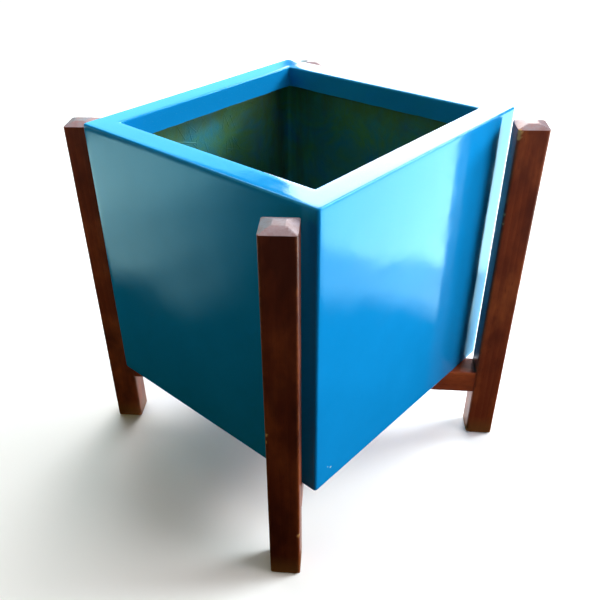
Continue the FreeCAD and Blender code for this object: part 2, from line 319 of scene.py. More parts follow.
def stained_wood(name, centre, turn, heart, tone, ends=None):
    """Dark stained hardwood with its grain along the piece: faint year rings round a distant heart,
    fibres and pores, stain gone deeper in patches, orange along the edges, partly rubbed wear and
    partly a painted highlight, pale where chipped.
    The tone makes this length lighter or darker all over; the legs' tones differ as painted light
    and shade. A leg is worn golden at its foot and pale lavender-grey on its hips, partly dust and
    partly a painted reflection."""
    material, tree, shader, place = new_material(name, centre, turn)
    along = mapped(tree, place, (1, 1, 0.07), location=heart)
    rings = add_node(tree, "ShaderNodeTexWave", {
        "Vector": along, "Scale": 42.0, "Distortion": 5.0, "Detail": 3.0, "Detail Scale": 0.6,
        "Detail Roughness": 0.6,
    }, wave_type="RINGS", rings_direction="Z", wave_profile="SAW").outputs["Fac"]
    colour = ramp(tree, rings, [
        (0.0, (0.108, 0.0185, 0.0065)), (0.6, (0.122, 0.0225, 0.008)), (1.0, (0.136, 0.027, 0.0095)),
    ])
    patch = grain(tree, place, 20, 4, 0.6, along=0.45)
    colour = mixed(tree, between(tree, patch, 0.0, 0.85, 0.46, 0.7), colour, (0.25, 0.056, 0.014))
    dark = grain(tree, mapped(tree, place, (1, 1, 0.5), location=(3 + 4 * tone, 1, 2)), 13, 4, 0.6)
    colour = mixed(tree, between(tree, dark, 0.0, 0.85, 0.46, 0.64), colour, (0.042, 0.008, 0.005))
    fibre = grain(tree, place, 820, 4, 0.6, along=0.03)
    colour = mixed(tree, between(tree, fibre, 0.0, 0.28, 0.45, 0.75), colour, (0.045, 0.009, 0.004))
    pore = grain(tree, place, 1500, 1, along=0.06)
    pores = between(tree, pore, 0.0, 0.7, 0.66, 0.71)
    colour = mixed(tree, pores, colour, (0.022, 0.005, 0.003))
    colour = result(tree, "ShaderNodeHueSaturation", {"Color": colour, "Value": tone})
    if ends is not None:
        foot, top = ends
        height = split(tree, place)[2]
        ragged = calc(tree, "ADD", height, between(tree, grain(tree, place, 120, 4, 0.7), -0.006, 0.006))
        worn = between(tree, ragged, 0.9, 0.0, foot, foot + 0.034)
        colour = mixed(tree, worn, colour, (0.27, 0.11, 0.03))
        # Pale lavender-grey on the hips: partly dust, partly a painted reflection on the varnish.
        dusty = between(tree, grain(tree, place, 90, 4, 0.65), 0.45, 0.9, 0.35, 0.6)
        dust_and_painted_sheen = calc(tree, "MULTIPLY", between(tree, height, 0.0, 1.0, top - 0.0006, top + 0.0002), dusty)
        colour = mixed(tree, dust_and_painted_sheen, colour, (0.16, 0.148, 0.18))
    # Orange along the edges: partly rubbed wear, partly a painted highlight.
    edge = add_node(tree, "ShaderNodeAttribute", attribute_name="edge").outputs["Fac"]
    rub_and_highlight = between(tree, grain(tree, place, 60, 4, 0.7), 0.05, 0.7, 0.42, 0.7)
    colour = mixed(tree, calc(tree, "MULTIPLY", edge, rub_and_highlight), colour, (0.3, 0.085, 0.022))
    bare = add_node(tree, "ShaderNodeAttribute", attribute_name="bare").outputs["Fac"]
    splinters = grain(tree, place, 900, 2, along=0.12)
    splinters = between(tree, splinters, 0.75, 1.0, 0.3, 0.7)
    colour = mixed(tree, calc(tree, "MULTIPLY", bare, splinters), colour, (0.72, 0.4, 0.14))
    dull, dull_patch = between(tree, fibre, 0.26, 0.38, 0.3, 0.7), between(tree, patch, 0, 0.1, 0.3, 0.7)
    dull = calc(tree, "ADD", calc(tree, "ADD", dull, dull_patch), calc(tree, "MULTIPLY", bare, 0.4))
    finished(tree, shader, colour, dull, calc(tree, "SUBTRACT", fibre, pores), 0.16, 0.0006)
    shader.inputs["IOR"].default_value = 1.47
    shader.inputs["Specular Tint"].default_value = (1.0, 0.5, 0.4, 1)
    return material


def knock(piece, knocks):
    """Chips: the points within each knock's radius go in towards the timber and show bare wood.
    A knock is (place, radius, depth, share of bare wood)."""
    mesh = piece.data
    bare = mesh.attributes.new("bare", "FLOAT", "POINT")
    normals = [Vector(normal.vector) for normal in mesh.vertex_normals]
    for index, vertex in enumerate(mesh.vertices):
        for place, radius, depth, paleness in knocks:
            distance = (vertex.co - place).length / radius
            if distance < 1:
                ragged = 1 - distance ** 2 + 0.35 * noise.noise(vertex.co * 900)
                vertex.co -= normals[index] * depth * max(0.0, min(1.0, ragged))
                pale = paleness * min(1.0, max(0.0, 2.2 * ragged))
                bare.data[index].value = max(bare.data[index].value, pale)
    mesh.update()


timber = timber_tree()
# Each leg's tone is painted light and shade: the front leg darkest, as if in shade, the others lighter, as if
# lit.
leg_light_and_shade_tone = {"leg_front_right": 1.0, "leg_back_right": 1.85, "leg_back_left": 1.3, "leg_front_left": 2.2}
leg_knocks = {
    # outwards and sideways in half widths, height in m, radius and depth in mm, share of bare wood
    "leg_front_right": [
        (1, 0.98, 0.08, 4, 1.0, 0.7), (1, -0.98, 0.255, 3, 0.9, 0.8), (1, -0.98, 0.243, 2.5, 0.7, 0.8),
    ],
    "leg_back_right": [
        (-0.94, -1, 0.511, 4.2, 0.9, 1.0), (-0.96, -1, 0.504, 4.2, 1.0, 1.0),
        (-1, -0.98, 0.397, 2.5, 0.8, 0.7), (-1, -0.98, 0.383, 2.2, 0.8, 0.7), (-1, -1, 0.004, 6, 1.6, 0.5),
    ],
    "leg_back_left": [(1, 0.97, 0.42, 5, 0.9, 0.7), (1, -0.97, 0.15, 3.5, 0.6, 0.4)],
    "leg_front_left": [(1, -0.97, 0.31, 3.5, 0.6, 0.5), (1, 0.98, 0.12, 3.5, 0.7, 0.4)],
}
for index, node in enumerate(leg_nodes):
    low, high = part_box(node)
    middle = (low + high) / 2
    turn = (0.0, 0.0, leg_turn[node])
    leg = new_piece(f"{node}_timber")
    apply_tree(
        leg, timber,
        width=leg_width, depth=leg_width, length=high.z - low.z - hip_rise,
        edge_radius=leg_edge_round, hip_run=hip_run, hip_rise=hip_rise,
        wear=0.32 * MM, seed=float(index), steps_across=19, steps_along=221,
        place=(middle.x, middle.y, middle.z - hip_rise / 2), turn=turn,
        finish=stained_wood(
            f"stained_{node}", middle, turn,
            heart=(0.05 + 0.012 * index, 0.07 - 0.02 * index, 0.13 * index), tone=leg_light_and_shade_tone[node],
            ends=(low.z - middle.z, high.z - middle.z - hip_rise),
        ),
    )
    outward = Vector((math.cos(leg_turn[node]), math.sin(leg_turn[node]), 0))
    sideways = Vector((-outward.y, outward.x, 0))
    knocks = []
    for out, side, height, radius, depth, paleness in leg_knocks[node]:
        spot = middle + (outward * out + sideways * side) * leg_width / 2
        knocks.append((Vector((spot.x, spot.y, height)), radius * MM, depth * MM, paleness))
    knock(leg, knocks)
    shade(leg, 28, hip_height=high.z - 1.04 * hip_rise)
    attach(leg, "stand")
    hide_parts(node)

# -----
# Rails. Two lengths of the same timber, halved over each other at the middle so that their tops
# lie level under the planter, butted to the legs' inner faces.
rail_turn = {"rail_lower": leg_turn["leg_front_right"], "rail_upper": leg_turn["leg_back_right"]}
rail_width, rail_edge_round, lap_gap = 40 * MM, 1.5 * MM, 0.1 * MM
rail_length = 550 * MM


def cut_out(piece, tool_mesh):
    """Cuts a closed mesh out of a piece."""
    tool = new_piece("tool", tool_mesh)
    cut = piece.modifiers.new("cut", "BOOLEAN")
    cut.object = tool
    cut.solver = "EXACT"
    apply_modifiers(piece)
    bpy.data.objects.remove(tool)


def mesh_of(made, name):
    """A mesh of what a bmesh holds, which is freed."""
    mesh = bpy.data.meshes.new(name)
    made.to_mesh(mesh)
    made.free()
    return mesh


def block_mesh(matrix):
    """A closed block: a unit cube put through a matrix."""
    made = bmesh.new()
    bmesh.ops.create_cube(made, size=1, matrix=matrix)
    return mesh_of(made, "block")


for index, (node, angle) in enumerate(rail_turn.items()):
    low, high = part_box(node)
    middle = (low + high) / 2
    depth = high.z - low.z
    turn = (0.0, math.pi / 2, angle)
    rail = new_piece(f"{node}_timber")
    apply_tree(
        rail, timber,
        width=depth, depth=rail_width, length=rail_length, edge_radius=rail_edge_round,
        hip_run=hip_run, hip_rise=0.0, wear=0.3 * MM, seed=10.0 + index, steps_across=15, steps_along=181,
        place=tuple(middle), turn=turn,
        finish=stained_wood(
            f"stained_{node}", middle, turn, heart=(0.06, 0.05 + 0.03 * index, 0.4 * index), tone=2.4,
        ),
    )
    half_up = -1 if node == "rail_upper" else 1
    cut_out(rail, block_mesh(
        Matrix.Translation(middle + Vector((0, 0, half_up * depth / 2)))
        @ Matrix.Rotation(angle, 4, "Z")
        @ Matrix.Diagonal((rail_width + 2 * lap_gap, 2 * rail_width, depth, 1))
    ))
    shade(rail, 28)
    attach(rail, "stand")
    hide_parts(node)

# -----
# Dowels. Two fluted beech dowels, glued, join each end of each rail to its leg, one above the
# other. They lie wholly inside the wood.
dowel_radius, dowel_length, dowel_bevel, dowel_pitch = 5 * MM, 48 * MM, 1 * MM, 18 * MM
dowel_flute = 0.35 * MM


def turned(profile, around=48, flute=0.0, ring=False):
    """A bmesh turned about Z from (radius, height) points. A ring's profile closes on itself; other
    profiles start and end on the axis. Every second line of points is cut in by the flute."""
    made = bmesh.new()
    rows = []
    for radius, height in profile:
        if radius == 0:
            rows.append([made.verts.new((0, 0, height))])
            continue
        row = []
        for step in range(around):
            angle = 2 * math.pi * step / around
            reach = radius - flute * (step % 2)
            row.append(made.verts.new((reach * math.cos(angle), reach * math.sin(angle), height)))
        rows.append(row)
    pairs = list(zip(rows, rows[1:]))
    if ring:
        pairs.append((rows[-1], rows[0]))
    for lower, upper in pairs:
        for step in range(around):
            after = (step + 1) % around
            if len(lower) == 1:
                made.faces.new((lower[0], upper[after], upper[step]))
            elif len(upper) == 1:
                made.faces.new((lower[step], lower[after], upper[0]))
            else:
                made.faces.new((lower[step], lower[after], upper[after], upper[step]))
    bmesh.ops.recalc_face_normals(made, faces=made.faces)
    return made


def at_each_leg_tree():
    """Repeats the piece's own mesh four times round the middle, turned with the legs."""
    tree, given, identifiers = open_tree(
        "at_each_leg", Geometry=("Geometry",), Int=("Legs",), Float=("Reach", "Height", "Turn"),
        Material=("Finish",),
    )
    spots = result(tree, "GeometryNodeMeshCircle", {"Vertices": given["Legs"], "Radius": given["Reach"]})
    lift = xyz(tree, z=given["Height"])
    swing = xyz(tree, z=given["Turn"])
    spots = result(tree, "GeometryNodeTransform", {
        "Geometry": spots, "Translation": lift, "Rotation": swing,
    })
    index = result(tree, "GeometryNodeInputIndex")
    step = calc(tree, "DIVIDE", 2 * math.pi, given["Legs"])
    angle = calc(tree, "ADD", given["Turn"], calc(tree, "MULTIPLY", index, step))
    facing = xyz(tree, z=angle)
    copies = result(tree, "GeometryNodeInstanceOnPoints", {
        "Points": spots, "Instance": given["Geometry"], "Rotation": facing,
    })
    close_tree(tree, copies, given["Finish"])
    return tree, identifiers


def beech():
    """Raw beech: pale pinkish brown with short dark flecks along the grain, and smears of dry glue."""
    material, tree, shader, place = new_material("raw_beech", turn=(0, math.pi / 2, first_leg_turn))
    streak = grain(tree, place, 500, 3, along=0.05)
    colour = ramp(tree, streak, [(0.3, (0.44, 0.26, 0.13)), (0.7, (0.62, 0.42, 0.24))])
    fleck = grain(tree, place, 1400, 1, along=0.2)
    colour = mixed(tree, between(tree, fleck, 0, 0.6, 0.66, 0.72), colour, (0.22, 0.1, 0.05))
    glue = between(tree, grain(tree, place, 160, 3), 0, 0.7, 0.6, 0.68)
    colour = mixed(tree, glue, colour, (0.72, 0.62, 0.42))
    dull = calc(tree, "SUBTRACT", 0.7, calc(tree, "MULTIPLY", glue, 0.4))
    finished(tree, shader, colour, dull, streak, 0.2, 0.0004)
    return material


at_each_leg = at_each_leg_tree()
half_dowel = dowel_length / 2
dowel_end = [
    (dowel_radius, half_dowel - dowel_bevel),
    (dowel_radius - 0.3 * dowel_bevel, half_dowel - dowel_bevel * 0.55),
    (dowel_radius - dowel_bevel, half_dowel),
    (0, half_dowel),
]
dowel_profile = [(radius, -height) for radius, height in reversed(dowel_end)] + dowel_end
dowel_pair = bmesh.new()
for side in (-0.5, 0.5):
    dowel = turned(dowel_profile, around=44, flute=dowel_flute)
    dowel.transform(Matrix.Translation((0, 0, side * dowel_pitch)) @ Matrix.Rotation(math.pi / 2, 4, "Y"))
    one = mesh_of(dowel, "dowel")
    dowel_pair.from_mesh(one)
    bpy.data.meshes.remove(one)
dowels = new_piece("fluted_dowels", mesh_of(dowel_pair, "dowel_pair"))
dowel_low, dowel_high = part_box("dowels_front_right")
dowel_middle = (dowel_low + dowel_high) / 2
apply_tree(
    dowels, at_each_leg,
    legs=4, reach=dowel_middle.xy.length, height=dowel_middle.z, turn=first_leg_turn, finish=beech(),
)
shade(dowels, 50)
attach(dowels, "stand")
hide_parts(*[f"dowels_{corner}" for corner in corners])

# -----
# Lap screw. A zinc-plated countersunk wood screw with a crossed slot, driven up through the
# lap of the two rails from below.
screw_low, screw_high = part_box("lap_screw")
screw_head_radius, screw_head_height = 4.8 * MM, 2.6 * MM
screw_crest, screw_core, screw_point = 2.4 * MM, 1.75 * MM, 5 * MM
thread_pitch, thread_start = 1.8 * MM, 4.5 * MM
slot_width, slot_depth = 1.1 * MM, 1.2 * MM


def zinc(name, tint):
    """Zinc plate: bright grey with a faint crystalline mottle and dull white bloom."""
    material, tree, shader, place = new_material(name)
    cell = add_node(tree, "ShaderNodeTexVoronoi", {"Vector": place, "Scale": 700.0}).outputs["Distance"]
    colour = ramp(tree, cell, [(0.0, tint), (0.8, tuple(0.78 * part for part in tint))])
    bloom = between(tree, grain(tree, place, 240, 4, 0.7), 0, 0.5, 0.5, 0.75)
    colour = mixed(tree, bloom, colour, (0.55, 0.55, 0.52))
    dull = between(tree, bloom, 0.28, 0.6, 0, 0.5)
    finished(tree, shader, colour, dull, grain(tree, place, 1800, 2), 0.1, 0.0002)
    shader.inputs["Metallic"].default_value = 1
    return material


def threaded_screw(around=40, per_pitch=10):
    """The screw with its head at height 0 and its point up."""
    length = screw_high.z - screw_low.z
    profile = [(0, 0), (0.6 * screw_head_radius, 0), (0.95 * screw_head_radius, 0)]
    profile += [(screw_head_radius, 0.12 * MM), (screw_head_radius, 0.3 * MM)]
    profile.append((screw_crest, screw_head_height))
    steps = round((length - screw_head_height) / thread_pitch * per_pitch)
    for step in range(1, steps):
        profile.append((screw_crest, screw_head_height + (length - screw_head_height) * step / steps))
    profile.append((0, length))
    made = turned(profile, around=around)
    for vertex in made.verts:
        height = vertex.co.z
        radius = vertex.co.xy.length
        if height <= screw_head_height or radius == 0:
            continue
        turn = math.atan2(vertex.co.y, vertex.co.x) / (2 * math.pi)
        lap = (height / thread_pitch - turn) % 1
        ridge = max(0.0, 1 - abs(lap - 0.5) / 0.32)
        fade = min(1.0, max(0.0, (height - thread_start) / thread_pitch))
        shank = screw_core + (screw_crest - screw_core) * (ridge * fade)
        taper = min(1.0, (length - height) / screw_point)
        vertex.co.xy *= shank * (0.12 + 0.88 * taper) / radius
    return made


screw_middle = Vector(((screw_low.x + screw_high.x) / 2, (screw_low.y + screw_high.y) / 2, screw_low.z))
blank = threaded_screw()
blank.transform(Matrix.Translation(screw_middle))
screw = new_piece("lap_wood_screw", mesh_of(blank, "lap_wood_screw"))
screw.data.materials.append(zinc("zinc_screw", (0.7, 0.7, 0.68)))
for turn in (0, math.pi / 2):
    cut_out(screw, block_mesh(
        Matrix.Translation(screw_middle) @ Matrix.Rotation(turn, 4, "Z")
        @ Matrix.Diagonal((screw_head_radius, slot_width, 2 * slot_depth, 1))
    ))
shade(screw, 35)
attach(screw, "stand")
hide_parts("lap_screw")

# -----
# Glides and nails. A brown plastic glide under each leg, moulded with a grip groove and a hole
# stepped for its nail, and the zinc-plated nail that holds it.
glide_low, glide_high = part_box("glide_front_right")
glide_middle = (glide_low + glide_high) / 2
nail_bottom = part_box("glide_nails")[0].z
glide_profile = [  # (radius, height) in mm
    (3.4, 0), (6.6, 0), (6.8, 0.1), (6.9, 0.35), (7.7, 0.35), (7.8, 0.1), (8, 0), (11, 0),
    (11.35, 0.12), (11.75, 0.45), (12, 0.85), (12, 2.3), (11.85, 2.5), (1.35, 2.5), (1.35, 1.5),
    (3.25, 1.5), (3.25, 0.15),
]
nail_profile = [  # (radius, height) in mm
    (0, 0), (1.2, 0.03), (2.3, 0.15), (2.95, 0.38), (3.2, 0.65), (3.2, 0.85), (3.05, 1), (1.25, 1),
    (1.25, 1.6), (1.1, 1.75), (1.25, 2.1), (1.1, 2.25), (1.25, 2.6), (1.1, 2.75), (1.25, 3.1),
    (1.25, 14), (0.9, 15.2), (0.22, 16.9), (0, 17),
]


def in_mm(profile):
    return [(radius * MM, height * MM) for radius, height in profile]


def brown_plastic():
    """Moulded brown plastic, scuffed grey where it slides, with grit rubbed in."""
    material, tree, shader, place = new_material("brown_glide_plastic")
    mottle = grain(tree, place, 90, 3)
    colour = ramp(tree, mottle, [(0.35, (0.11, 0.07, 0.045)), (0.7, (0.17, 0.115, 0.08))])
    scuff = between(tree, grain(tree, mapped(tree, place, (1, 0.12, 1)), 900, 3), 0, 0.7, 0.55, 0.7)
    colour = mixed(tree, scuff, colour, (0.3, 0.27, 0.24))
    dull = between(tree, scuff, 0.42, 0.7, 0, 0.7)
    finished(tree, shader, colour, dull, grain(tree, place, 1300, 3), 0.2, 0.0003)
    return material


glides = new_piece("leg_glides", mesh_of(turned(in_mm(glide_profile), 72, ring=True), "glide"))
apply_tree(
    glides, at_each_leg,
    legs=4, reach=glide_middle.xy.length, height=glide_low.z, turn=first_leg_turn, finish=brown_plastic(),
)
nails = new_piece("leg_glide_nails", mesh_of(turned(in_mm(nail_profile), 32), "nail"))
apply_tree(
    nails, at_each_leg,
    legs=4, reach=glide_middle.xy.length, height=nail_bottom, turn=first_leg_turn,
    finish=zinc("zinc_nails", (0.66, 0.65, 0.61)),
)
for piece, slot, nodes in (
    (glides, "glide_plastic", [f"glide_{corner}" for corner in corners]),
    (nails, "zinc_steel", ["glide_nails"]),
):
    shade(piece, 35)
    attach(piece, "stand")
    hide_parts(*nodes)

# -----
# Planter. One moulding of glass mat and polyester resin, laid up by hand in a polished mould:
# azure gel coat outside, over the flat rim and down the lip, and the bare olive-green laminate,
# rough with its strands, on every side that the mould didn't touch.
shell_low, shell_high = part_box("planter_shell")
half_side = (shell_high.x - shell_low.x) / 2
base, rim_top = shell_low.z, shell_high.z
laminate, floor_laminate = 4 * MM, 5 * MM
floor_top, rim_under = base + floor_laminate, rim_top - laminate
mouth_half = half_side - 35 * MM
lip_bottom = rim_top - 29 * MM
inner_half = half_side - laminate
corner_round, rim_round, base_round, inner_round = 4 * MM, 2.5 * MM, 3 * MM, 6 * MM
mesh_step = 6.4 * MM
plug_low, plug_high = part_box("drain_plug")
drain_spot = Vector(((plug_low.x + plug_high.x) / 2, (plug_low.y + plug_high.y) / 2, base))
drain_radius = 9 * MM
gel_slot, raw_slot = 0, 1


def rounded_square(half, radius, height, side_steps=60, corner_steps=5):
    """A ring of points round a square with rounded corners, counter-clockwise."""
    radius = min(radius, half * 0.9)
    straight = half - radius
    ring = []
    for quarter in range(4):
        turn = Matrix.Rotation(quarter * math.pi / 2, 2)
        for step in range(side_steps):
            ring.append(turn @ Vector((half, straight * (2 * step / side_steps - 1))))
        for step in range(corner_steps):
            angle = step / corner_steps * math.pi / 2
            corner = (straight + radius * math.cos(angle), straight + radius * math.sin(angle))
            ring.append(turn @ Vector(corner))
    return [(point.x, point.y, height) for point in ring]


def steps_between(start, end, step=mesh_step):
    """Even values from start up to but not including end."""
    count = max(1, round(abs(end - start) / step))
    return [start + (end - start) * i / count for i in range(count)]


def arc(centre, radius, start, end, count=6):
    """Points (across, up) on an arc, without its last one."""
    points = []
    for i in range(count):
        angle = math.radians(start + (end - start) * i / count)
        points.append((centre[0] + radius * math.cos(angle), centre[1] + radius * math.sin(angle)))
    return points


def planter_rings():
    """(half width, corner radius, height, material slot) of each ring, from under the floor up the
    outside, over the rim, down the lip, up behind it, and down the inside to the floor."""
    rings = []

    def level(start, end, up, corner, slot):
        rings.extend((half, corner, up, slot) for half in steps_between(start, end))

    def upright(half, start, end, corner, slot):
        rings.extend((half, corner, up, slot) for up in steps_between(start, end))

    def bend(centre, radius, start, end, corner, slot):
        rings.extend((half, corner, up, slot) for half, up in arc(centre, radius, start, end))

    behind_lip, first_half = mouth_half + laminate, 6 * MM
    level(first_half, half_side - base_round, base, corner_round, gel_slot)
    bend((half_side - base_round, base + base_round), base_round, -90, 0, corner_round, gel_slot)
    upright(half_side, base + base_round, rim_top - rim_round, corner_round, gel_slot)
    bend((half_side - rim_round, rim_top - rim_round), rim_round, 0, 90, corner_round, gel_slot)
    level(half_side - rim_round, mouth_half + rim_round, rim_top, corner_round, gel_slot)
    bend((mouth_half + rim_round, rim_top - rim_round), rim_round, 90, 180, rim_round, gel_slot)
    upright(mouth_half, rim_top - rim_round, lip_bottom, rim_round, gel_slot)
    for half in steps_between(mouth_half, behind_lip, 2 * MM):
        rings.append((half, rim_round + half - mouth_half, lip_bottom, raw_slot))
    upright(behind_lip, lip_bottom, rim_under, rim_round + laminate, raw_slot)
    level(behind_lip, inner_half, rim_under, inner_round, raw_slot)
    upright(inner_half, rim_under, floor_top + inner_round, inner_round, raw_slot)
    bend((inner_half - inner_round, floor_top + inner_round), inner_round, 0, -90, inner_round, raw_slot)
    level(inner_half - inner_round, first_half, floor_top, inner_round, raw_slot)
    return rings


def lofted(name, loops, slots):
    """A closed mesh through loops of equal length, capped at both ends."""
    count = len(loops[0])
    points = [point for loop in loops for point in loop]
    faces = [list(reversed(range(count)))]
    face_slots = [slots[0]]
    for row in range(len(loops) - 1):
        low, high = row * count, (row + 1) * count
        for i in range(count):
            after = (i + 1) % count
            faces.append([low + i, low + after, high + after, high + i])
            face_slots.append(slots[row])
    faces.append(list(range((len(loops) - 1) * count, len(loops) * count)))
    face_slots.append(slots[-1])
    mesh = bpy.data.meshes.new(name)
    mesh.from_pydata(points, [], faces)
    mesh.polygons.foreach_set("material_index", face_slots)
    mesh.update()
    return mesh


def planter_wave(place):
    """How far a point lies proud: slow pulls in the panels, and the lumps of the bare laminate."""
    across = max(abs(place.x), abs(place.y))
    outside = across > inner_half + laminate / 2 or place.z > rim_top - laminate / 2
    outside = outside or place.z < base + floor_laminate / 2
    on_lip = across < mouth_half + laminate / 2 and place.z > lip_bottom + 1 * MM
    if outside or on_lip:
        return 0.22 * MM * noise.noise(place * 9) + 0.07 * MM * noise.noise(place * 30)
    if (place.xy - drain_spot.xy).length < 1.8 * drain_radius:
        return 0
    return 0.5 * MM * noise.noise(place * 18) + 0.12 * MM * noise.noise(place * 70)


def wave(piece, height_at, edge_height, edge_ragged):
    """Moves each point along its normal, and makes the trimmed edge at a height ragged."""
    mesh = piece.data
    normals = [Vector(normal.vector) for normal in mesh.vertex_normals]
    for vertex, normal in zip(mesh.vertices, normals):
        on_edge = abs(vertex.co.z - edge_height) < 0.1 * MM
        vertex.co += normal * height_at(vertex.co)
        if on_edge:
            vertex.co.z += edge_ragged * (noise.noise(vertex.co * 24) + 0.4 * noise.noise(vertex.co * 95))
    mesh.update()


def strand_tree():
    """Lays flattened, gently bent bundles of glass strand at random on the faces marked for them."""
    tree, given, identifiers = open_tree(
        "glass_strands", Geometry=("Geometry",), Int=("Seed",), Material=("Finish",),
        Float=("Density", "Length", "Thickness", "Flatness", "Proud", "Bend"),
    )
    marked = stored(tree, "laid", "BOOLEAN")
    spots = add_node(tree, "GeometryNodeDistributePointsOnFaces", {
        "Mesh": given["Geometry"], "Selection": marked, "Density": given["Density"], "Seed": given["Seed"],
    }, distribute_method="RANDOM")
    strand = add_node(tree, "GeometryNodeMeshCylinder", {
        "Vertices": 4, "Side Segments": 4, "Radius": given["Thickness"], "Depth": given["Length"],
    }, fill_type="TRIANGLE_FAN").outputs["Mesh"]
    flat = xyz(tree, given["Flatness"], 1.0, 1.0)
    proud = xyz(tree, z=given["Proud"])
    strand = result(tree, "GeometryNodeTransform", {
        "Geometry": strand, "Translation": proud, "Rotation": (0, math.pi / 2, 0), "Scale": flat,
    })
    seed = given["Seed"]
    twist = add_node(tree, "FunctionNodeRandomValue", {2: 0.0, 3: math.pi, "Seed": seed}, data_type="FLOAT")
    swing = xyz(tree, z=twist.outputs[1])
    lying = result(
        tree, "FunctionNodeRotateRotation", {0: spots.outputs["Rotation"], 1: swing}, rotation_space="LOCAL"
    )
    size = add_node(tree, "FunctionNodeRandomValue", {2: 0.6, 3: 1.3, "Seed": seed}, data_type="FLOAT")
    strands = result(tree, "GeometryNodeInstanceOnPoints", {
        "Points": spots.outputs["Points"], "Instance": strand, "Rotation": lying, "Scale": size.outputs[1],
    })
    strands = result(tree, "GeometryNodeRealizeInstances", {"Geometry": strands})
    place = result(tree, "GeometryNodeInputPosition")
    pull = add_node(tree, "ShaderNodeTexNoise", {"Vector": place, "Scale": 36.0, "Detail": 1.0})
    pull = vector_calc(tree, "SUBTRACT", pull.outputs["Color"], (0.5, 0.5, 0.5))
    pull = vector_calc(tree, "MULTIPLY", pull, stored(tree, "along_wall", "FLOAT_VECTOR"))
    pull = scaled(tree, pull, given["Bend"])
    strands = result(tree, "GeometryNodeSetPosition", {"Geometry": strands, "Offset": pull})
    strands = result(tree, "GeometryNodeSetMaterial", {"Geometry": strands, "Material": given["Finish"]})
    both = add_node(tree, "GeometryNodeJoinGeometry")
    tree.links.new(strands, both.inputs[0])
    tree.links.new(given["Geometry"], both.inputs[0])
    add_node(tree, "NodeGroupOutput", {"Result": both.outputs[0]})
    return tree, identifiers


def mark_laid_faces(piece):
    """Marks the bare faces that are clear of corners, lip and drain, and the ways that their wall runs."""
    mesh = piece.data
    mesh.attributes.new("laid", "BOOLEAN", "FACE")
    mesh.attributes.new("along_wall", "FLOAT_VECTOR", "FACE")
    # Both are looked up after both are made, since making one can move the other.
    laid, runs = mesh.attributes["laid"], mesh.attributes["along_wall"]
    clear = inner_half - 20 * MM
    for face in mesh.polygons:
        x, y, z = face.center
        near, far = sorted((abs(x), abs(y)))
        on_wall = far > inner_half - 3 * MM and near < clear and base + 25 * MM < z < lip_bottom
        on_floor = far < clear and base + floor_laminate / 2 < z < base + 2 * floor_laminate
        on_floor = on_floor and (face.center.xy - drain_spot.xy).length > 4 * drain_radius
        laid.data[face.index].value = face.material_index == raw_slot and (on_wall or on_floor)
        runs.data[face.index].vector = [1 - round(abs(part)) for part in face.normal]


def gel_coat(chips):
    """Azure gel coat: glossy, a little cloudy, with fine orange peel, dust specks and a few small chips."""
    material, tree, shader, place = new_material("azure_gel_coat")
    cloud = grain(tree, place, 7, 4, 0.6)
    colour = ramp(tree, cloud, [(0.3, (0.003, 0.205, 0.5)), (0.7, (0.0045, 0.235, 0.57))])
    speck = grain(tree, place, 900, 1)
    colour = mixed(tree, between(tree, speck, 0, 0.3, 0.71, 0.78), colour, (0.2, 0.42, 0.55))
    jagged = calc(tree, "MULTIPLY", calc(tree, "SUBTRACT", grain(tree, place, 700, 3), 0.5), 0.004)
    for spot, size in chips:
        away = add_node(tree, "ShaderNodeVectorMath", {0: place, 1: spot}, operation="DISTANCE")
        away = calc(tree, "ADD", away.outputs["Value"], jagged)
        chipped = between(tree, away, 1, 0, size * 0.85, size)
        colour = mixed(tree, chipped, colour, (0.5, 0.66, 0.62))
    dull = between(tree, grain(tree, place, 26, 5, 0.7, 0.6), 0.05, 0.17, 0.35, 0.7)
    peel = between(tree, grain(tree, place, 260, 2), 0, 0.35)
    waves = calc(tree, "MULTIPLY", grain(tree, place, 16, 4, 0.6, 0.8), 2.2)
    lumps = calc(tree, "ADD", calc(tree, "ADD", peel, waves), grain(tree, place, 60, 3, 0.6))
    finished(tree, shader, colour, dull, lumps, 0.06, 0.001)
    shader.inputs["IOR"].default_value = 1.5
    shader.inputs["Specular Tint"].default_value = (0.1, 0.62, 0.95, 1)
    return material


